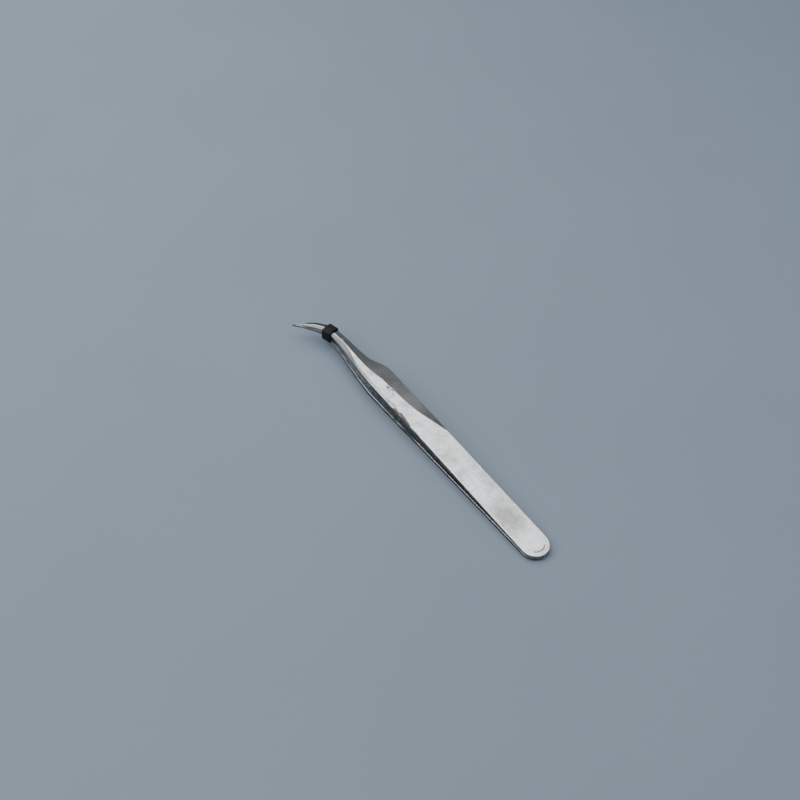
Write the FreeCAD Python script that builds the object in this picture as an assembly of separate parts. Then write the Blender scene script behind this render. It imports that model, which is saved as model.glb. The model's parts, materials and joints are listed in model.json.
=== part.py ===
import FreeCAD, Part
import math
import os

# Curved fine-point tweezers, shut and held by a rubber ring, lying on their side. Millimetres.
#
# The pair is drawn with the plane between the two arms at z = 0, the middle of the rounded weld
# end's rim at the origin and the tips toward +X. The tips curve to +Y, the "inner" side of the
# curve; the shoulder where the blade steps down to the neck is on the other, "outer" side. The
# two arms mirror each other in z = 0. The last step turns everything into the lying pose.

# Stations: distances along the middle line of an arm, from the weld end to the tip.
WELD_END = 8.0
STRIP_END = 50.0
CREASE_START = 57.0
BLADE_MIDDLE = 66.0
BULGE = 78.0
SHOULDER_TOP = 82.0
SHOULDER_SIDE = 85.0
SHOULDER_FOOT = 89.0
NECK = 94.0
RIDGE_START = 99.0
BEND_START = 105.5
NEEDLE_LENGTH = 2.4
STRAIGHT_TIP_LENGTH = 5.5
BEND_RADIUS = 13.0
BEND_ANGLE = math.radians(52.0)
BEND_END = BEND_START + BEND_RADIUS * BEND_ANGLE
TIP = BEND_END + STRAIGHT_TIP_LENGTH
NEEDLE_START = TIP - NEEDLE_LENGTH

# The plain strip behind the blade. Its inner face leaves the seam at the end of the weld. Its outer
# face is one plane from the rounded end to the bulge, a little steeper, so an arm thickens in front.
STRIP_HALF_WIDTH = 4.35
THICKNESS_AT_WELD = 1.20
EDGE_BREAK = 0.20
INNER_SPLAY = math.radians(1.55)
OUTER_SPLAY = math.radians(1.84)

# Half widths of the ground blade, neck and point, to the outer and the inner side of the middle line.
BLADE_OUTER = 4.35
BLADE_INNER = 4.55
SHOULDER_SIDE_OUTER = 3.50
SHOULDER_FOOT_OUTER = 1.95
NECK_OUTER = 1.45
NECK_INNER = 3.30
RIDGE_START_INNER = 2.60
BEND_OUTER = 1.25
BEND_INNER = 2.15
BEND_END_OUTER = 0.75
BEND_END_INNER = 1.20
NEEDLE_HALF_WIDTH = 0.22
TIP_HALF_WIDTH = 0.14

# The two creases between the flat face and the bevels, and the ridge they run together into.
# Offsets are from the middle line, positive to the inner side.
OUTER_CREASE_AT_BLADE = -0.35
OUTER_CREASE_AT_BULGE = 0.45
OUTER_CREASE_AT_SHOULDER = 1.30
INNER_CREASE_AT_BLADE = 3.40
INNER_CREASE_AT_BULGE = 3.60
INNER_CREASE_AT_SHOULDER = 3.15
INNER_CREASE_AT_NECK = 2.00
RIDGE_OFFSET = 0.90
BEND_RIDGE_OFFSET = 0.80
BEND_END_RIDGE_OFFSET = 0.35
RIDGE_HALF_WIDTH = 0.09
TIP_RIDGE_HALF_WIDTH = 0.05

# Height of the outer face above an arm's flat inner face, on the crease and at the two sides.
BULGE_SIDE_HEIGHT = 1.25
RIDGE_HEIGHT = 1.60
RIDGE_SIDE_HEIGHT = 1.00
BEND_RIDGE_HEIGHT = 1.15
BEND_SIDE_HEIGHT = 0.75
BEND_END_RIDGE_HEIGHT = 0.75
BEND_END_SIDE_HEIGHT = 0.50
TIP_RIDGE_HEIGHT = 0.40
TIP_SIDE_HEIGHT = 0.28

# Half of the gap between the arms while the ring holds the tips together.
BLADE_GAP = 1.50
BULGE_GAP = 1.68
SHOULDER_FOOT_GAP = 1.42
RIDGE_START_GAP = 1.10
BEND_GAP = 0.80
BEND_END_GAP = 0.30
TIP_GAP = 0.05

# Spot welds inside the rounded end.
WELD_RADIUS = 1.1
WELD_DEPTH = 0.2
WELD_CENTRES = (2.9, 5.9)

# Rubber ring: a slice of tube stretched over both arms at the start of the bend.
RING_STATION = 108.8
RING_LENGTH = 3.4
RING_WALL = 0.5
RING_CLEARANCE = 0.16
RING_SHIFT = 0.15
RING_HEADING = (RING_STATION - BEND_START) / BEND_RADIUS
RING_AXIS = FreeCAD.Vector(math.cos(RING_HEADING), math.sin(RING_HEADING), 0)


def smooth_through(points):
    """Return a function of the station that runs smoothly through the points, never overshooting."""
    stations = [point[0] for point in points]
    values = [point[1] for point in points]
    steps = []
    for index in range(len(points) - 1):
        rise = values[index + 1] - values[index]
        steps.append(rise / (stations[index + 1] - stations[index]))
    slopes = [steps[0]]
    for before, after in zip(steps, steps[1:]):
        same_direction = before * after > 0
        slopes.append(2 * before * after / (before + after) if same_direction else 0.0)
    slopes.append(steps[-1])

    def value(station):
        if station <= stations[0]:
            return values[0]
        if station >= stations[-1]:
            return values[-1]
        index = max(i for i in range(len(stations) - 1) if stations[i] <= station)
        span = stations[index + 1] - stations[index]
        t = (station - stations[index]) / span
        start_weight = (1 + 2 * t) * (1 - t) ** 2
        end_weight = t * t * (3 - 2 * t)
        start_slope = t * (1 - t) ** 2 * span * slopes[index]
        end_slope = t * t * (t - 1) * span * slopes[index + 1]
        return start_weight * values[index] + end_weight * values[index + 1] + start_slope + end_slope

    return value


def strip_gap(station):
    """Half gap along the straight strip: nothing in the weld, then it opens at a constant angle."""
    return max(station - WELD_END, 0.0) * math.tan(INNER_SPLAY)


def strip_top(station):
    """Height of the outer face above the seam, from the rounded end to the bulge."""
    return THICKNESS_AT_WELD + (station - WELD_END) * math.tan(OUTER_SPLAY)


STRIP_END_THICKNESS = strip_top(STRIP_END) - strip_gap(STRIP_END)
BULGE_CREASE_HEIGHT = strip_top(BULGE) - BULGE_GAP

outer_side = smooth_through([
    (STRIP_END, STRIP_HALF_WIDTH),
    (BLADE_MIDDLE, BLADE_OUTER),
    (SHOULDER_TOP, BLADE_OUTER),
    (SHOULDER_SIDE, SHOULDER_SIDE_OUTER),
    (SHOULDER_FOOT, SHOULDER_FOOT_OUTER),
    (NECK, NECK_OUTER),
    (BEND_START, BEND_OUTER),
    (BEND_END, BEND_END_OUTER),
    (NEEDLE_START, NEEDLE_HALF_WIDTH),
    (TIP, TIP_HALF_WIDTH),
])

inner_side = smooth_through([
    (STRIP_END, STRIP_HALF_WIDTH),
    (BULGE, BLADE_INNER),
    (NECK, NECK_INNER),
    (RIDGE_START, RIDGE_START_INNER),
    (BEND_START, BEND_INNER),
    (BEND_END, BEND_END_INNER),
    (NEEDLE_START, NEEDLE_HALF_WIDTH),
    (TIP, TIP_HALF_WIDTH),
])

outer_crease = smooth_through([
    (STRIP_END, EDGE_BREAK - STRIP_HALF_WIDTH),
    (BLADE_MIDDLE, OUTER_CREASE_AT_BLADE),
    (BULGE, OUTER_CREASE_AT_BULGE),
    (SHOULDER_SIDE, OUTER_CREASE_AT_SHOULDER),
    (SHOULDER_FOOT, OUTER_CREASE_AT_SHOULDER),
    (RIDGE_START, RIDGE_OFFSET - RIDGE_HALF_WIDTH),
    (BEND_START, BEND_RIDGE_OFFSET - RIDGE_HALF_WIDTH),
    (BEND_END, BEND_END_RIDGE_OFFSET - RIDGE_HALF_WIDTH),
    (TIP, -TIP_RIDGE_HALF_WIDTH),
])

inner_crease = smooth_through([
    (STRIP_END, STRIP_HALF_WIDTH - EDGE_BREAK),
    (CREASE_START, STRIP_HALF_WIDTH - EDGE_BREAK),
    (BLADE_MIDDLE, INNER_CREASE_AT_BLADE),
    (BULGE, INNER_CREASE_AT_BULGE),
    (SHOULDER_FOOT, INNER_CREASE_AT_SHOULDER),
    (NECK, INNER_CREASE_AT_NECK),
    (RIDGE_START, RIDGE_OFFSET + RIDGE_HALF_WIDTH),
    (BEND_START, BEND_RIDGE_OFFSET + RIDGE_HALF_WIDTH),
    (BEND_END, BEND_END_RIDGE_OFFSET + RIDGE_HALF_WIDTH),
    (TIP, TIP_RIDGE_HALF_WIDTH),
])

crease_height = smooth_through([
    (BULGE, BULGE_CREASE_HEIGHT),
    (RIDGE_START, RIDGE_HEIGHT),
    (BEND_START, BEND_RIDGE_HEIGHT),
    (BEND_END, BEND_END_RIDGE_HEIGHT),
    (TIP, TIP_RIDGE_HEIGHT),
])

side_height = smooth_through([
    (STRIP_END, STRIP_END_THICKNESS - EDGE_BREAK),
    (BULGE, BULGE_SIDE_HEIGHT),
    (RIDGE_START, RIDGE_SIDE_HEIGHT),
    (BEND_START, BEND_SIDE_HEIGHT),
    (BEND_END, BEND_END_SIDE_HEIGHT),
    (TIP, TIP_SIDE_HEIGHT),
])

blade_gap = smooth_through([
    (STRIP_END, strip_gap(STRIP_END)),
    (BLADE_MIDDLE, BLADE_GAP),
    (BULGE, BULGE_GAP),
    (SHOULDER_FOOT, SHOULDER_FOOT_GAP),
    (RIDGE_START, RIDGE_START_GAP),
    (BEND_START, BEND_GAP),
    (BEND_END, BEND_END_GAP),
    (TIP, TIP_GAP),
])


def heading(station):
    """Direction of the middle line in the plane of the arms, as an angle from +X toward +Y."""
    turned = min(max(station - BEND_START, 0.0), BEND_END - BEND_START)
    return turned / BEND_RADIUS


def middle_line(station):
    """Point of the middle line: straight, then the bend's arc, then straight to the tip."""
    angle = heading(station)
    x = min(station, BEND_START) + BEND_RADIUS * math.sin(angle)
    y = BEND_RADIUS * (1 - math.cos(angle))
    past_bend = max(station - BEND_END, 0.0)
    return x + past_bend * math.cos(angle), y + past_bend * math.sin(angle)


def beside_line(station, offset, height):
    """Point at an offset to the inner side of the middle line and at a height above z = 0."""
    x, y = middle_line(station)
    angle = heading(station)
    return FreeCAD.Vector(x - offset * math.sin(angle), y + offset * math.cos(angle), height)


def closed_wire(points):
    return Part.makePolygon(points + [points[0]])


def section(station, gap, side, top):
    """Six-cornered cross-section of the upper arm: flat inside, two sides, two bevels, flat face."""
    return closed_wire([
        beside_line(station, -outer_side(station), gap),
        beside_line(station, -outer_side(station), side),
        beside_line(station, outer_crease(station), top),
        beside_line(station, inner_crease(station), top),
        beside_line(station, inner_side(station), side),
        beside_line(station, inner_side(station), gap),
    ])


def strip_section(station):
    top = strip_top(station)
    return section(station, strip_gap(station), top - EDGE_BREAK, top)


def blade_section(station):
    gap = blade_gap(station)
    top = strip_top(station) if station <= BULGE else gap + crease_height(station)
    return section(station, gap, gap + side_height(station), top)


def rear_stations():
    """Stations of the sections between the plain strip and the bulge."""
    count = 7
    return [STRIP_END + (BULGE - STRIP_END) * step / count for step in range(count + 1)]


def front_stations():
    """Stations of the sections in front of the bulge, closer together where the outline turns."""
    stretches = [
        (BULGE, SHOULDER_TOP, 2),
        (SHOULDER_TOP, SHOULDER_FOOT, 5),
        (SHOULDER_FOOT, RIDGE_START, 4),
        (RIDGE_START, BEND_START, 3),
        (BEND_START, BEND_END, 4),
        (BEND_END, TIP, 4),
    ]
    stations = [BULGE]
    for start, end, count in stretches:
        stations += [start + (end - start) * step / count for step in range(1, count + 1)]
    return stations


def blade():
    """The ground front of the upper arm, from the end of the plain strip to the tip."""
    rear = Part.makeLoft([blade_section(station) for station in rear_stations()], True, False)
    front = Part.makeLoft([blade_section(station) for station in front_stations()], True, False)
    return rear.fuse(front)


def plain_strip(start, end):
    """A straight stretch of the upper arm behind the bevels."""
    return Part.makeLoft([strip_section(start), strip_section(end)], True, True)


def rounded_end():
    """The half disc that ends the upper arm, cut off by the plane of the outer face, its rim broken."""
    high = 2 * THICKNESS_AT_WELD
    disc = Part.makeCylinder(STRIP_HALF_WIDTH, high, FreeCAD.Vector(STRIP_HALF_WIDTH, 0, 0))
    above = Part.makeBox(4 * STRIP_HALF_WIDTH, 4 * STRIP_HALF_WIDTH, high,
                         FreeCAD.Vector(-STRIP_HALF_WIDTH, -2 * STRIP_HALF_WIDTH, strip_top(0)))
    above.rotate(FreeCAD.Vector(0, 0, strip_top(0)), FreeCAD.Vector(0, 1, 0), -math.degrees(OUTER_SPLAY))
    disc = disc.cut(above)
    rim = [edge for edge in disc.Edges if edge.Closed and edge.BoundBox.ZMin > THICKNESS_AT_WELD / 2]
    disc = disc.makeChamfer(EDGE_BREAK, rim)
    rear_half = Part.makeBox(STRIP_HALF_WIDTH, 2 * STRIP_HALF_WIDTH, high,
                             FreeCAD.Vector(0, -STRIP_HALF_WIDTH, 0))
    return disc.common(rear_half)


def welded_end():
    """The part of the upper arm that is welded to the lower arm."""
    return rounded_end().fuse(plain_strip(STRIP_HALF_WIDTH, WELD_END)).removeSplitter()


def free_length():
    """The part of the upper arm in front of the weld."""
    return plain_strip(WELD_END, STRIP_END).fuse(blade()).removeSplitter()


def spot_welds():
    """Two discs of fused metal, half in each arm."""
    welds = []
    for x in WELD_CENTRES:
        base = FreeCAD.Vector(x, 0, -WELD_DEPTH)
        welds.append(Part.makeCylinder(WELD_RADIUS, 2 * WELD_DEPTH, base))
    return Part.makeCompound(welds)


def ring_face(grow):
    """Face at the ring's rear end: the outline of both arms there, grown all round by an amount."""
    rear = RING_STATION - RING_LENGTH / 2
    top = blade_gap(rear) + crease_height(rear)
    side = blade_gap(rear) + side_height(rear)
    upper_half = [
        (-outer_side(rear), side),
        (outer_crease(rear), top),
        (inner_crease(rear), top),
        (inner_side(rear), side),
    ]
    lower_half = [(offset, -height) for offset, height in reversed(upper_half)]
    centre = beside_line(RING_STATION, RING_SHIFT, 0) - RING_AXIS * (RING_LENGTH / 2)
    sideways = FreeCAD.Vector(-RING_AXIS.y, RING_AXIS.x, 0)
    up = FreeCAD.Vector(0, 0, 1)
    outline = closed_wire([centre + sideways * offset + up * height
                           for offset, height in upper_half + lower_half])
    return Part.Face(outline.makeOffset2D(grow))


def retaining_ring():
    """The rubber ring: a tube with even walls that takes the shape of the arms it is stretched over."""
    outside = ring_face(RING_CLEARANCE + RING_WALL).extrude(RING_AXIS * RING_LENGTH)
    inside = ring_face(RING_CLEARANCE).extrude(RING_AXIS * RING_LENGTH)
    return outside.cut(inside)


def mirrored(shape):
    return shape.mirror(FreeCAD.Vector(0, 0, 0), FreeCAD.Vector(0, 0, 1))


def lie_down(shapes):
    """Lay the pair on the lower arm's flat outer face, with the origin under its middle."""
    turned = {}
    for name, shape in shapes.items():
        turned[name] = shape.copy()
        turned[name].rotate(FreeCAD.Vector(0, 0, 0), FreeCAD.Vector(0, 1, 0), -math.degrees(OUTER_SPLAY))
    box = Part.makeCompound(list(turned.values())).optimalBoundingBox()
    shift = FreeCAD.Vector(-box.Center.x, -box.Center.y, -box.ZMin)
    for shape in turned.values():
        shape.translate(shift)
    return turned


welds = spot_welds()
heel = welded_end().cut(welds)
front = free_length()
lower = mirrored(welded_end().fuse(front).removeSplitter()).cut(welds)

nodes = lie_down({
    "lower_arm": lower,
    "upper_arm_heel": heel,
    "upper_arm": front,
    "spot_welds": welds,
    "retaining_ring": retaining_ring(),
})

os.makedirs("parts", exist_ok=True)
for name, shape in nodes.items():
    shape.exportStep("parts/" + name + ".step")
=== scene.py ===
"""Curved fine-point tweezers, held shut by a rubber ring, lying on a pale table."""

import json
import math

import bmesh
import bpy
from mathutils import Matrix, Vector


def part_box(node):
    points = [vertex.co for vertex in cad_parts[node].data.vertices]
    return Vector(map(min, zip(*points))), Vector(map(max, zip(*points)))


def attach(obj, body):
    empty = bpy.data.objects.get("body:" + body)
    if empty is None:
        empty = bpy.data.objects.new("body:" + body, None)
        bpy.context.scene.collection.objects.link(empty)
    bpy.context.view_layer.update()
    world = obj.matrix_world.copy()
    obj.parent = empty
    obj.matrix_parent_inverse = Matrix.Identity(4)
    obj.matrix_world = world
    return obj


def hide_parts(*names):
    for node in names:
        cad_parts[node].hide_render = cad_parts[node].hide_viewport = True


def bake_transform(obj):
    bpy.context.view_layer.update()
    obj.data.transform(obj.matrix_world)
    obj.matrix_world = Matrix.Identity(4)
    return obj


bl_info = {
    "name": "Curved Fine-Point Tweezers",
    "version": (1, 0, 0),
    "blender": (4, 5, 0),
    "location": "3D View > Sidebar > Tweezers",
    "description": "Satin steel tweezers with curved points, spot welds and a rubber ring",
    "category": "Add Mesh",
}

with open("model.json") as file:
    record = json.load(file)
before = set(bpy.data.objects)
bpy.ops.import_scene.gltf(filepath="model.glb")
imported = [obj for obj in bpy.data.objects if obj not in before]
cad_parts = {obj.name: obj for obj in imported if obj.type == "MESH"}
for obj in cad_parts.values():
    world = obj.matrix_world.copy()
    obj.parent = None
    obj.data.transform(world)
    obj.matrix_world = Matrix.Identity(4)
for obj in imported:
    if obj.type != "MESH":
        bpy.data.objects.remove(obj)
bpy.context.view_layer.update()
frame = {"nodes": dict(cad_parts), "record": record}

MM = 0.001

# The middle line of an arm, from the rounded end to the tip: straight, round the bend, straight.
BEND_START = 105.5 * MM
BEND_RADIUS = 13.0 * MM
BEND_ANGLE = math.radians(52.0)
BEND_END = BEND_START + BEND_RADIUS * BEND_ANGLE
TIP = BEND_END + 5.5 * MM
REAR_RADIUS = 4.35 * MM
WELD_FRONT = 8.0 * MM
STRIP_END = 50.0 * MM
SHOULDER_TOP = 81.0 * MM
SHOULDER_FOOT = 90.0 * MM

SECTION_CORNERS = 6
CORNER_STEPS = 3
LARGEST_ROUNDING_SHARE = 0.32

# Finishes of an arm's faces, as places in its list of materials.
SATIN = 0
POLISHED = 1
# The sides' finish carries painted shade, a dark colour for the shadowed floor they reflect.
SHADED_SIDE = 2
# The inner bevel's finish is the polished steel darkened with painted shade, for the dark reflections
# it catches; only its higher roughness is a real finish.
SHADED_BEVEL = 3
# The finish of each flat strip of the outline, from the one that ends at the outer seam corner on:
# seam face, outer side, outer bevel, flat face, inner bevel, inner side.
FLAT_FINISHES = (SATIN, SHADED_SIDE, POLISHED, SATIN, SHADED_BEVEL, SHADED_SIDE)


def mount_position(name):
    """Position of one of the part's mounts."""
    found = [mount for mount in frame["record"]["mounts"] if mount["name"] == name]
    return Vector(found[0]["pos_m"])


def arm_vertices():
    return frame["nodes"]["lower_arm"].data.vertices


# Directions of the pair as it lies: inward is the side that the tips curve to, up crosses the
# plane between the arms, along runs from the rounded end to the tips.
INWARD = Vector((0, 1, 0))
UP = (mount_position("upper_handle_face") - mount_position("lower_handle_face")).normalized()
ALONG = INWARD.cross(UP)
SEAM_POINT = (mount_position("upper_handle_face") + mount_position("lower_handle_face")) / 2
WELD_LOW, WELD_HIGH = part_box("spot_welds")
REAR = (ALONG * min(vertex.co.dot(ALONG) for vertex in arm_vertices())
        + UP * SEAM_POINT.dot(UP)
        + INWARD * (WELD_LOW.y + WELD_HIGH.y) / 2)


# Settings that a user would change

class TweezersSizes(bpy.types.PropertyGroup):
    """Sizes of the edges and of the lighting."""

    arm_edge: bpy.props.FloatProperty(
        name="Arm edge", description="Rounding of the arms' polished edges",
        default=0.11 * MM, min=0.01 * MM, max=0.3 * MM, unit="LENGTH", precision=5)
    section_spacing: bpy.props.FloatProperty(
        name="Section spacing", description="Distance between an arm's cross-sections",
        default=1.5 * MM, min=0.3 * MM, max=5 * MM, unit="LENGTH", precision=5)
    ring_edge: bpy.props.FloatProperty(
        name="Ring edge", description="Rounding of the rubber ring's cut edges",
        default=0.06 * MM, min=0.01 * MM, max=0.2 * MM, unit="LENGTH", precision=5)
    camera_distance: bpy.props.FloatProperty(
        name="Camera distance", description="Distance from the camera to the tweezers",
        default=0.32, min=0.1, max=2.0, unit="LENGTH")


class TweezersFinish(bpy.types.PropertyGroup):
    """Colours and gloss."""

    steel: bpy.props.FloatVectorProperty(
        name="Steel", description="Colour of the satin steel", subtype="COLOR",
        size=3, default=(0.66, 0.685, 0.705), min=0, max=1)
    polished: bpy.props.FloatVectorProperty(
        name="Polished", description="Colour of the bevels and rounded edges", subtype="COLOR",
        size=3, default=(0.60, 0.605, 0.60), min=0, max=1)
    tarnish: bpy.props.FloatVectorProperty(
        name="Tarnish", description="Colour of handled, dulled steel", subtype="COLOR",
        size=3, default=(0.33, 0.335, 0.31), min=0, max=1)
    # The sides' colour is painted shade: dark for the shadowed floor they reflect.
    side_shade: bpy.props.FloatVectorProperty(
        name="Side shade", description="Colour of the arms' sides", subtype="COLOR",
        size=3, default=(0.22, 0.22, 0.22), min=0, max=1)
    rubber: bpy.props.FloatVectorProperty(
        name="Rubber", description="Colour of the retaining ring", subtype="COLOR",
        size=3, default=(0.003, 0.0037, 0.0043), min=0, max=1)
    table: bpy.props.FloatVectorProperty(
        name="Table", description="Colour of the table top", subtype="COLOR",
        size=3, default=(0.200, 0.246, 0.304), min=0, max=1)
    satin: bpy.props.FloatProperty(
        name="Satin", description="Roughness of the brushed faces",
        default=0.24, min=0.05, max=1, subtype="FACTOR")


def sizes():
    return bpy.context.scene.tweezers_sizes


def finish():
    return bpy.context.scene.tweezers_finish


# Shape of an arm

def middle_line(station):
    """Point of the lower arm's middle line on the seam plane, and the direction it runs in."""
    turned = min(max(station - BEND_START, 0.0) / BEND_RADIUS, BEND_ANGLE)
    forward = ALONG * math.cos(turned) + INWARD * math.sin(turned)
    ahead = min(station, BEND_START) + BEND_RADIUS * math.sin(turned)
    aside = BEND_RADIUS * (1 - math.cos(turned))
    point = REAR + ALONG * ahead + INWARD * aside
    return point + forward * max(station - BEND_END, 0.0), forward


def section_stations():
    """Stations of an arm's cross-sections, closer together where its outline turns quickly."""
    spacing = sizes().section_spacing
    rear_steps = 18
    skin = 0.01 * MM
    stations = [skin]
    for step in range(1, rear_steps + 1):
        turned = math.pi / 2 * step / rear_steps
        stations.append(skin + REAR_RADIUS * (1 - math.cos(turned)))
    stretches = [
        (WELD_FRONT, spacing),
        (STRIP_END, 2 * spacing),
        (SHOULDER_TOP, spacing),
        (SHOULDER_FOOT, spacing / 4),
        (BEND_START, spacing / 2),
        (BEND_END, spacing / 4),
        (TIP - skin, spacing / 4),
    ]
    for end, step_length in stretches:
        start = stations[-1]
        count = math.ceil((end - start) / step_length)
        stations += [start + (end - start) * step / count for step in range(1, count + 1)]
    return stations


def turn(first, second, third):
    """Twice the signed area of a flat triangle."""
    return ((second[0] - first[0]) * (third[1] - first[1])
            - (second[1] - first[1]) * (third[0] - first[0]))


def outline_round(points):
    """The points that lie on the outside of a flat scatter, in order round it."""
    ordered = sorted(points)
    outline = []
    for scan in (ordered, ordered[::-1]):
        chain = []
        for point in scan:
            while len(chain) > 1 and turn(chain[-2], chain[-1], point) <= 0:
                chain.pop()
            chain.append(point)
        outline += chain[:-1]
    return outline


def sharpest_corners(outline, count):
    """Drop the flattest corner of an outline again and again until a number of them is left."""
    corners = list(outline)
    while len(corners) > count:
        areas = [abs(turn(corners[index - 1], corners[index], corners[(index + 1) % len(corners)]))
                 for index in range(len(corners))]
        corners.pop(areas.index(min(areas)))
    return corners


def section_corners(arm, station):
    """The six corners of the lower arm's cross-section, from its outer seam corner on."""
    centre, forward = middle_line(station)
    sideways = UP.cross(forward)
    cut = arm.copy()
    found = bmesh.ops.bisect_plane(
        cut, geom=cut.verts[:] + cut.edges[:] + cut.faces[:], dist=0.0001 * MM,
        plane_co=centre, plane_no=forward)
    offsets = [item.co - centre for item in found["geom_cut"] if isinstance(item, bmesh.types.BMVert)]
    flat = [(offset.dot(sideways), offset.dot(UP)) for offset in offsets]
    cut.free()
    corners = sharpest_corners(outline_round(flat), SECTION_CORNERS)
    first = max(range(SECTION_CORNERS), key=lambda index: corners[index][1] - corners[index][0])
    corners = corners[first:] + corners[:first]
    return [centre + sideways * aside + UP * high for aside, high in corners]


def rounded_section(corners):
    """Points of a cross-section with its corners rounded off, in order round it."""
    sides = [(corners[index] - corners[index - 1]).length for index in range(len(corners))]
    rounding = min(sizes().arm_edge, LARGEST_ROUNDING_SHARE * min(sides))
    section = bmesh.new()
    face = section.faces.new([section.verts.new(corner) for corner in corners])
    bmesh.ops.bevel(
        section, geom=face.verts[:], affect="VERTICES", offset=rounding, offset_type="OFFSET",
        segments=CORNER_STEPS, profile=0.5, material=-1)
    section.faces.ensure_lookup_table()
    points = [vertex.co.copy() for vertex in section.faces[0].verts]
    section.free()
    edge_start = corners[0].lerp(corners[-1], rounding / (corners[0] - corners[-1]).length)
    first = min(range(len(points)), key=lambda index: (points[index] - edge_start).length)
    return points[first:] + points[:first]


def strip_finish(index):
    """Finish of the strip that ends at one of the outline's points; rounded edges are polished."""
    points_per_corner = CORNER_STEPS + 1
    flat, within_corner = divmod(index, points_per_corner)
    return POLISHED if within_corner else FLAT_FINISHES[flat]


def carry_forward(arm, outline, points):
    """Extrude an outline along the arm and move its new end onto the next cross-section."""
    edges = [arm.edges.get((outline[index - 1], outline[index])) for index in range(len(outline))]
    made = bmesh.ops.extrude_edge_only(arm, edges=edges)["geom"]
    new = set(made)
    for index, edge in enumerate(edges):
        face = next(face for face in edge.link_faces if face in new)
        face.material_index = strip_finish(index)
    following = []
    for vertex in outline:
        ahead = [edge.other_vert(vertex) for edge in vertex.link_edges]
        following.append(next(other for other in ahead if other in new))
    for vertex, point in zip(following, points):
        vertex.co = point
    return following


def arm_mesh():
    """The lower arm: rounded cross-sections of the solid arm, carried from the rear to the tip."""
    solid = bmesh.new()
    solid.from_mesh(frame["nodes"]["lower_arm"].data)
    bmesh.ops.remove_doubles(solid, verts=solid.verts[:], dist=0.001 * MM)
    sections = [rounded_section(section_corners(solid, station)) for station in section_stations()]
    solid.free()
    arm = bmesh.new()
    outline = [arm.verts.new(point) for point in sections[0]]
    arm.faces.new(outline)
    for points in sections[1:]:
        outline = carry_forward(arm, outline, points)
    arm.faces.new(outline)
    bmesh.ops.recalc_face_normals(arm, faces=arm.faces[:])
    return arm


def new_piece(name, shape, *materials):
    """Put a finished shape into the scene as a smoothly shaded piece with its materials."""
    mesh = bpy.data.meshes.new(name)
    shape.to_mesh(mesh)
    shape.free()
    for polygon in mesh.polygons:
        polygon.use_smooth = True
    piece = bpy.data.objects.new(name, mesh)
    bpy.context.scene.collection.objects.link(piece)
    for material in materials:
        mesh.materials.append(material)
    return piece


def keep_faces_flat(piece):
    """Shade the wide faces flat, so that only the rounded edges between them catch the light."""
    weights = piece.modifiers.new("flat faces", "WEIGHTED_NORMAL")
    weights.weight = 100
    weights.keep_sharp = True


# Materials

MARK_SHADOW = (0.06, 0.06, 0.065)
SCUFFED_SATIN = (0.13, 0.13, 0.125)
WEAR_AND_SHADE_STEEL = (0.10, 0.095, 0.09)
SIDE_DEEPER_SHADOW = (0.06, 0.06, 0.06)
WELD_STRAW = (0.36, 0.33, 0.30)
WELD_BLUE = (0.22, 0.22, 0.26)
DUST = (0.05, 0.05, 0.05)

POLISHED_ROUGHNESS = 0.175
SHADED_BEVEL_ROUGHNESS = 0.30
# How much painted shade darkens the inner bevel's copy of the polished steel colour.
BEVEL_PAINTED_SHADE = 0.66
ROUGHNESS_SPREAD = 0.025


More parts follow.
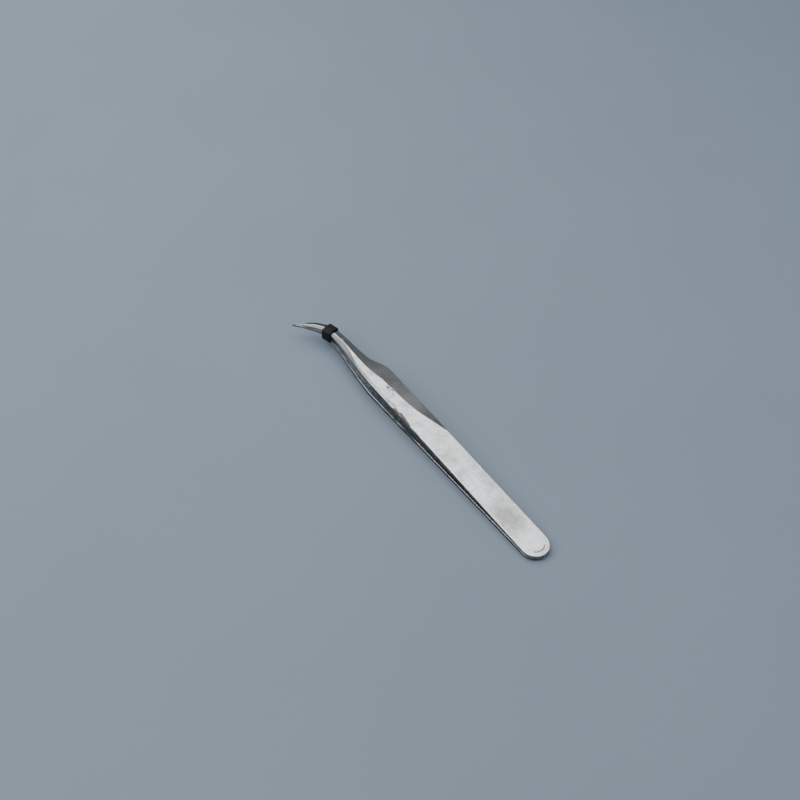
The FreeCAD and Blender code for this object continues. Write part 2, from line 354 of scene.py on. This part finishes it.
class Nodes:
    """Short ways to add and join shader nodes of one material."""

    def __init__(self, name):
        self.material = bpy.data.materials.new(name)
        self.material.use_nodes = True
        self.tree = self.material.node_tree
        self.shader = self.tree.nodes["Principled BSDF"]
        self.coordinates = self.tree.nodes.new("ShaderNodeTexCoord").outputs["Object"]

    def join(self, source, target):
        self.tree.links.new(source, target)

    def placed(self, scale=(1, 1, 1), location=(0, 0, 0), rotation=(0, 0, 0)):
        """Object coordinates moved, turned and scaled."""
        mapping = self.tree.nodes.new("ShaderNodeMapping")
        mapping.inputs["Location"].default_value = location
        mapping.inputs["Rotation"].default_value = rotation
        mapping.inputs["Scale"].default_value = scale
        self.join(self.coordinates, mapping.inputs["Vector"])
        return mapping.outputs["Vector"]

    def noise(self, vector, scale, detail=3, roughness=0.5, distortion=0.0):
        noise = self.tree.nodes.new("ShaderNodeTexNoise")
        noise.inputs["Scale"].default_value = scale
        noise.inputs["Detail"].default_value = detail
        noise.inputs["Roughness"].default_value = roughness
        noise.inputs["Distortion"].default_value = distortion
        self.join(vector, noise.inputs["Vector"])
        return noise.outputs["Fac"]

    def spread(self, value, low, high, out_low=0.0, out_high=1.0):
        """Map a value's range from low to high onto another range, held at its ends."""
        change = self.tree.nodes.new("ShaderNodeMapRange")
        change.interpolation_type = "SMOOTHSTEP"
        change.inputs["From Min"].default_value = low
        change.inputs["From Max"].default_value = high
        change.inputs["To Min"].default_value = out_low
        change.inputs["To Max"].default_value = out_high
        self.join(value, change.inputs["Value"])
        return change.outputs["Result"]

    def maths(self, operation, first, second=0.0):
        step = self.tree.nodes.new("ShaderNodeMath")
        step.operation = operation
        for socket, value in zip(step.inputs, (first, second)):
            if isinstance(value, (int, float)):
                socket.default_value = value
            else:
                self.join(value, socket)
        return step.outputs["Value"]

    def distance_from(self, point, stretch=(1, 1, 1)):
        """Distance from a point, with each direction weighted."""
        shifted = self.placed(scale=stretch, location=[-a * b for a, b in zip(point, stretch)])
        length = self.tree.nodes.new("ShaderNodeVectorMath")
        length.operation = "LENGTH"
        self.join(shifted, length.inputs[0])
        return length.outputs["Value"]

    def blend_colours(self, factor, first, second):
        mix = self.tree.nodes.new("ShaderNodeMix")
        mix.data_type = "RGBA"
        for socket, value in ((mix.inputs[6], first), (mix.inputs[7], second)):
            if isinstance(value, bpy.types.NodeSocket):
                self.join(value, socket)
            else:
                socket.default_value = (*value, 1)
        self.join(factor, mix.inputs["Factor"])
        return mix.outputs[2]

    def bump(self, height, strength, distance):
        bump = self.tree.nodes.new("ShaderNodeBump")
        bump.inputs["Strength"].default_value = strength
        bump.inputs["Distance"].default_value = distance
        self.join(height, bump.inputs["Height"])
        self.join(bump.outputs["Normal"], self.shader.inputs["Normal"])


def satin_steel(name, smudged):
    """Steel with a fine satin grain, cloudy from handling, with small scuffs and worn patches."""
    steel = Nodes(name)
    grain = steel.noise(steel.placed(scale=(0.35, 1, 1)), 9000, detail=2)
    clouds = steel.noise(steel.coordinates, 150, detail=5, roughness=0.62)
    mottle = steel.noise(steel.coordinates, 520, detail=4, roughness=0.6)
    speckle = steel.noise(steel.coordinates, 2600, detail=2)
    scratches = steel.noise(steel.placed(scale=(1, 0.12, 0.4), rotation=(0, 0, 0.6)), 2100, detail=1)
    scratch = steel.spread(scratches, 0.68, 0.75)
    cloud_share = 0.38
    mottle_share = 0.42
    dull = steel.maths("MULTIPLY", steel.spread(clouds, 0.42, 0.66), cloud_share)
    dull = steel.maths("ADD", dull, steel.spread(mottle, 0.45, 0.72, 0.0, mottle_share))
    if smudged:
        dull = steel.maths("MAXIMUM", dull, handling_smudge(steel, mottle))
    colour = steel.blend_colours(dull, finish().steel, finish().tarnish)
    if smudged:
        # Painted shade of a pressed line near the rounded end.
        colour = steel.blend_colours(pressed_line_shade(steel, speckle), colour, MARK_SHADOW)
        colour = steel.blend_colours(oval_scuff(steel), colour, SCUFFED_SATIN)
    steel.join(colour, steel.shader.inputs["Base Color"])
    steel.shader.inputs["Metallic"].default_value = 1.0
    satin = finish().satin
    cloudy = steel.spread(clouds, 0.3, 0.7, satin - 0.04, satin + 0.06)
    fine = steel.spread(speckle, 0.3, 0.7, -0.02, 0.03)
    polished = steel.maths("MULTIPLY", scratch, -0.08)
    roughness = steel.maths("ADD", steel.maths("ADD", cloudy, fine), polished)
    steel.join(roughness, steel.shader.inputs["Roughness"])
    height = steel.maths("SUBTRACT", grain, steel.maths("MULTIPLY", scratch, 0.8))
    steel.bump(height, 0.25, 0.012 * MM)
    return steel.material


def handling_smudge(steel, mottle):
    """Where fingers have dulled the strip, a little in front of the weld."""
    centre = REAR + ALONG * 15.5 * MM + INWARD * 1.0 * MM
    raggedness = 8.0 * MM
    from_smudge = steel.distance_from(centre, (0.75, 1.1, 0))
    ragged = steel.maths("ADD", from_smudge, steel.maths("MULTIPLY", mottle, raggedness))
    return steel.spread(ragged, 10.5 * MM, 5.5 * MM, 0.0, 0.95)


def pressed_line_shade(steel, speckle):
    """A thin dark arc near the rounded end, following its curve: painted shade of a line pressed into
    the face.
    """
    arc_radius = 2.9 * MM
    arc_centre = REAR + ALONG * 4.5 * MM
    raggedness = 0.3 * MM
    from_centre = steel.distance_from(arc_centre, (1, 1, 0))
    off_arc = steel.maths("ABSOLUTE", steel.maths("SUBTRACT", from_centre, arc_radius))
    ragged = steel.maths("ADD", off_arc, steel.maths("MULTIPLY", speckle, raggedness))
    arc = steel.spread(ragged, 0.42 * MM, 0.18 * MM)
    from_rear = steel.distance_from(REAR, (1, 0.55, 0))
    return steel.maths("MULTIPLY", arc, steel.spread(from_rear, 3.0 * MM, 2.5 * MM))


def oval_scuff(steel):
    """An oval scratched mark beside the crease of the outer bevel, in the middle of the blade."""
    middle = REAR + ALONG * 73.0 * MM + INWARD * 0.6 * MM
    raggedness = 0.8 * MM
    mottle = steel.noise(steel.coordinates, 900)
    from_middle = steel.distance_from(middle, (0.35, 1, 0))
    ragged = steel.maths("ADD", from_middle, steel.maths("MULTIPLY", mottle, raggedness))
    oval = steel.spread(ragged, 1.6 * MM, 1.3 * MM)
    return steel.maths("MULTIPLY", oval, steel.spread(mottle, 0.46, 0.56))


def polished_steel(name, colour, roughness):
    """Bevels or rounded edges: hairline scratches, a scuffed stretch, and painted shade darkening the
    points.
    """
    steel = Nodes(name)
    hairline = steel.noise(steel.placed(scale=(0.06, 1, 1)), 5200, detail=2)
    wear = steel.noise(steel.coordinates, 420, detail=5, roughness=0.65)
    scuffed = blade_scuffs(steel)
    wear_and_shade = steel.maths("MAXIMUM", scuffed, steel.spread(wear, 0.55, 0.8, 0.0, 0.25))
    # The scuffs and patches are wear; the darkening towards the points is painted shade.
    wear_and_shade = steel.maths("MAXIMUM", wear_and_shade, tip_painted_shade(steel, hairline))
    wear_and_shade_colour = steel.blend_colours(wear_and_shade, colour, WEAR_AND_SHADE_STEEL)
    steel.join(wear_and_shade_colour, steel.shader.inputs["Base Color"])
    steel.shader.inputs["Metallic"].default_value = 1.0
    plain = steel.spread(wear, 0.3, 0.7, roughness - ROUGHNESS_SPREAD, roughness + ROUGHNESS_SPREAD)
    uneven = steel.maths("ADD", plain, steel.maths("MULTIPLY", scuffed, 0.2))
    steel.join(uneven, steel.shader.inputs["Roughness"])
    height = steel.maths("SUBTRACT", hairline, steel.maths("MULTIPLY", scuffed, 2.5))
    steel.bump(height, 0.2, 0.01 * MM)
    return steel.material


def blade_scuffs(steel):
    """Scratches along the inner bevel, and the oval mark beside the outer one."""
    scuffs = steel.noise(steel.placed(scale=(0.55, 1, 1), rotation=(0, 0, 0.3)), 800, detail=4)
    middle = REAR + ALONG * 62.0 * MM + INWARD * 4.0 * MM
    patch = steel.spread(steel.distance_from(middle, (0.55, 1, 0)), 6.0 * MM, 2.0 * MM)
    scuffed = steel.maths("MULTIPLY", steel.spread(scuffs, 0.44, 0.54), patch)
    return steel.maths("MAXIMUM", scuffed, oval_scuff(steel))


def tip_painted_shade(steel, hairline):
    """Painted shade that darkens the points towards the tip, in streaks, standing in for the dark
    reflections there.
    """
    from_tip = steel.distance_from(middle_line(TIP)[0])
    painted_shade = steel.spread(from_tip, 16.0 * MM, 9.0 * MM, 0.0, 0.8)
    return steel.maths("MULTIPLY", painted_shade, steel.spread(hairline, 0.35, 0.65, 0.6, 1.0))


def shaded_side_steel(name):
    """Sides: darkened with painted shade, in patches, for the shadowed floor they reflect, with fine
    lines running along the arm.
    """
    steel = Nodes(name)
    lines = steel.noise(steel.placed(scale=(0.05, 1, 1)), 4200, detail=3)
    patches = steel.noise(steel.coordinates, 300, detail=4)
    colour = steel.blend_colours(steel.spread(patches, 0.35, 0.7), finish().side_shade, SIDE_DEEPER_SHADOW)
    steel.join(colour, steel.shader.inputs["Base Color"])
    steel.shader.inputs["Metallic"].default_value = 1.0
    steel.join(steel.spread(lines, 0.3, 0.7, 0.22, 0.36), steel.shader.inputs["Roughness"])
    steel.bump(lines, 0.3, 0.012 * MM)
    return steel.material


def arm_finishes(name, smudged):
    """An arm's materials, in the order of the finishes."""
    polished = finish().polished
    # The inner bevel gets the polished colour darkened with painted shade, standing in for the dark
    # reflections it catches.
    painted_shade = [channel * BEVEL_PAINTED_SHADE for channel in polished]
    return (
        satin_steel(name, smudged),
        shared("polished steel", polished_steel, polished, POLISHED_ROUGHNESS),
        shared("side steel with painted shade", shaded_side_steel),
        shared("polished steel with painted shade", polished_steel, painted_shade, SHADED_BEVEL_ROUGHNESS),
    )


def shared(name, make, *details):
    """A material that both arms use, made once."""
    return bpy.data.materials.get(name) or make(name, *details)


def weld_steel():
    """Fused steel: dull, with heat colours and fine ripples round each weld."""
    weld = Nodes("fused weld steel")
    mottle = weld.noise(weld.coordinates, 1800, detail=4)
    colour = weld.blend_colours(weld.spread(mottle, 0.35, 0.65), WELD_STRAW, WELD_BLUE)
    weld.join(colour, weld.shader.inputs["Base Color"])
    weld.shader.inputs["Metallic"].default_value = 1.0
    weld.join(weld.spread(mottle, 0.3, 0.7, 0.38, 0.6), weld.shader.inputs["Roughness"])
    weld.bump(mottle, 0.4, 0.03 * MM)
    return weld.material


def black_rubber():
    """Smooth moulded rubber with a faint bloom, specks of dust and a fine surface texture."""
    rubber = Nodes("black rubber")
    bloom = rubber.noise(rubber.coordinates, 700, detail=4)
    dust = rubber.spread(rubber.noise(rubber.coordinates, 5200, detail=1), 0.72, 0.78)
    bloom_brightness = 2.2
    lighter = [channel * bloom_brightness for channel in finish().rubber]
    colour = rubber.blend_colours(rubber.spread(bloom, 0.35, 0.7), finish().rubber, lighter)
    colour = rubber.blend_colours(dust, colour, DUST)
    rubber.join(colour, rubber.shader.inputs["Base Color"])
    rubber.join(rubber.spread(bloom, 0.3, 0.7, 0.5, 0.66), rubber.shader.inputs["Roughness"])
    rubber.shader.inputs["Specular IOR Level"].default_value = 0.22
    texture = rubber.noise(rubber.coordinates, 9000, detail=2)
    rubber.bump(texture, 0.3, 0.01 * MM)
    return rubber.material


def table_top():
    """Pale matt board with a hardly visible mottle."""
    table = Nodes("table top")
    mottle = table.noise(table.coordinates, 14, detail=3)
    mottle_shade = 0.97
    darker = [channel * mottle_shade for channel in finish().table]
    colour = table.blend_colours(table.spread(mottle, 0.3, 0.7), finish().table, darker)
    table.join(colour, table.shader.inputs["Base Color"])
    table.shader.inputs["Roughness"].default_value = 0.6
    table.shader.inputs["Specular IOR Level"].default_value = 0.25
    return table.material


# One operator for each piece

class TWEEZERS_OT_lower_arm(bpy.types.Operator):
    """Make the lower arm from the solid arm's cross-sections"""

    bl_idname = "tweezers.lower_arm"
    bl_label = "Lower Arm"

    def execute(self, context):
        piece = new_piece("lower_arm_satin", arm_mesh(), *arm_finishes("satin steel, lower arm", False))
        keep_faces_flat(piece)
        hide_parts("lower_arm")
        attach(piece, "lower_arm")
        return {"FINISHED"}


class TWEEZERS_OT_upper_arm(bpy.types.Operator):
    """Make the upper arm as the mirror image of the lower one"""

    bl_idname = "tweezers.upper_arm"
    bl_label = "Upper Arm"

    def execute(self, context):
        arm = arm_mesh()
        for vertex in arm.verts:
            height = (vertex.co - SEAM_POINT).dot(UP)
            vertex.co = vertex.co - UP * 2 * height
        bmesh.ops.recalc_face_normals(arm, faces=arm.faces[:])
        piece = new_piece("upper_arm_satin", arm, *arm_finishes("satin steel, upper arm", True))
        keep_faces_flat(piece)
        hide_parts("upper_arm", "upper_arm_heel")
        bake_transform(piece)
        return {"FINISHED"}


class TWEEZERS_OT_ring(bpy.types.Operator):
    """Make the rubber ring with slightly rounded cut edges"""

    bl_idname = "tweezers.ring"
    bl_label = "Retaining Ring"

    def execute(self, context):
        ring = bmesh.new()
        ring.from_mesh(frame["nodes"]["retaining_ring"].data)
        bmesh.ops.remove_doubles(ring, verts=ring.verts[:], dist=0.001 * MM)
        bmesh.ops.dissolve_limit(
            ring, angle_limit=math.radians(1), verts=ring.verts[:], edges=ring.edges[:])
        cut_edges = [edge for edge in ring.edges
                     if len(edge.link_faces) == 2 and edge.calc_face_angle() > math.radians(60)]
        bmesh.ops.bevel(
            ring, geom=cut_edges, affect="EDGES", offset=sizes().ring_edge, offset_type="OFFSET",
            segments=3, profile=0.5, material=-1)
        bmesh.ops.recalc_face_normals(ring, faces=ring.faces[:])
        piece = new_piece("retaining_ring_rubber", ring, black_rubber())
        keep_faces_flat(piece)
        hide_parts("retaining_ring")
        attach(piece, "retaining_ring")
        return {"FINISHED"}


class TWEEZERS_OT_welds(bpy.types.Operator):
    """Give the spot welds their own dull finish"""

    bl_idname = "tweezers.welds"
    bl_label = "Spot Welds"

    def execute(self, context):
        welds = frame["nodes"]["spot_welds"]
        welds.data.materials.clear()
        welds.data.materials.append(weld_steel())
        return {"FINISHED"}


def look_along(thing, target):
    """Turn a light or camera so that it faces a point."""
    direction = target - thing.location
    thing.rotation_euler = direction.to_track_quat("-Z", "Y").to_euler()


def add_softbox(name, centre, target, width, length, power):
    """A large rectangular lamp that faces a point."""
    lamp = bpy.data.lights.new(name, "AREA")
    lamp.shape = "RECTANGLE"
    lamp.size = width
    lamp.size_y = length
    lamp.energy = power
    softbox = bpy.data.objects.new(name, lamp)
    softbox.location = centre
    bpy.context.scene.collection.objects.link(softbox)
    look_along(softbox, Vector(target))


class TWEEZERS_OT_stage(bpy.types.Operator):
    """Make the table, the studio light and the camera"""

    bl_idname = "tweezers.stage"
    bl_label = "Stage"

    def execute(self, context):
        self.make_table()
        self.make_light()
        self.make_camera()
        return {"FINISHED"}

    def make_table(self):
        table_half_width = 3.0
        table = bmesh.new()
        bmesh.ops.create_grid(table, x_segments=8, y_segments=8, size=table_half_width)
        piece = new_piece("table", table, table_top())

    def make_light(self):
        world = bpy.data.worlds.new("studio")
        world.use_nodes = True
        background = world.node_tree.nodes["Background"]
        room_colour = (0.80, 0.90, 1.0, 1)
        room_strength = 0.17
        background.inputs["Color"].default_value = room_colour
        background.inputs["Strength"].default_value = room_strength
        bpy.context.scene.world = world
        above = 0.60
        add_softbox("overhead softbox", (0.17, 0.06, above), (0.17, 0.06, 0.0), 0.86, 0.86, 5.3)
        add_softbox("edge light", (0.45, 1.00, above), (0.45, 1.00, 0.0), 0.80, 0.90, 9.0)
        add_softbox("ridge light", (0.93, -0.23, above), (0.93, -0.23, 0.0), 0.62, 0.34, 3.1)
        add_softbox("side fill", (-0.45, -0.80, 0.75), (0.0, 0.0, 0.0), 0.50, 0.50, 1.6)

    def make_camera(self):
        view_elevation = math.radians(46.0)
        view_heading = math.radians(-35.3)
        target = Vector((0.0135, -0.0051, 0))
        back = Vector((-math.cos(view_heading), -math.sin(view_heading), 0))
        distance = sizes().camera_distance
        lens = bpy.data.cameras.new("camera")
        lens.lens = 45
        lens.sensor_width = 36
        lens.clip_start = 0.01
        camera = bpy.data.objects.new("camera", lens)
        camera.location = (target + back * distance * math.cos(view_elevation)
                           + Vector((0, 0, distance * math.sin(view_elevation))))
        bpy.context.scene.collection.objects.link(camera)
        look_along(camera, target)
        bpy.context.scene.camera = camera


class TWEEZERS_PT_panel(bpy.types.Panel):
    """Lists the tweezers' settings and pieces"""

    bl_idname = "TWEEZERS_PT_panel"
    bl_label = "Tweezers"
    bl_space_type = "VIEW_3D"
    bl_region_type = "UI"
    bl_category = "Tweezers"

    def draw(self, context):
        for settings in (context.scene.tweezers_sizes, context.scene.tweezers_finish):
            box = self.layout.box()
            for name in settings.bl_rna.properties.keys():
                if name not in ("name", "rna_type"):
                    box.prop(settings, name)
        for operator in PIECE_OPERATORS:
            self.layout.operator(operator.bl_idname)


PIECE_OPERATORS = (
    TWEEZERS_OT_lower_arm,
    TWEEZERS_OT_upper_arm,
    TWEEZERS_OT_ring,
    TWEEZERS_OT_welds,
    TWEEZERS_OT_stage,
)
CLASSES = (TweezersSizes, TweezersFinish, *PIECE_OPERATORS, TWEEZERS_PT_panel)


def register():
    for cls in CLASSES:
        bpy.utils.register_class(cls)
    bpy.types.Scene.tweezers_sizes = bpy.props.PointerProperty(type=TweezersSizes)
    bpy.types.Scene.tweezers_finish = bpy.props.PointerProperty(type=TweezersFinish)


def unregister():
    del bpy.types.Scene.tweezers_finish
    del bpy.types.Scene.tweezers_sizes
    for cls in reversed(CLASSES):
        bpy.utils.unregister_class(cls)


def main():
    register()
    bpy.ops.tweezers.lower_arm()
    bpy.ops.tweezers.upper_arm()
    bpy.ops.tweezers.ring()
    bpy.ops.tweezers.welds()
    bpy.ops.tweezers.stage()


if __name__ == "__main__":
    main()
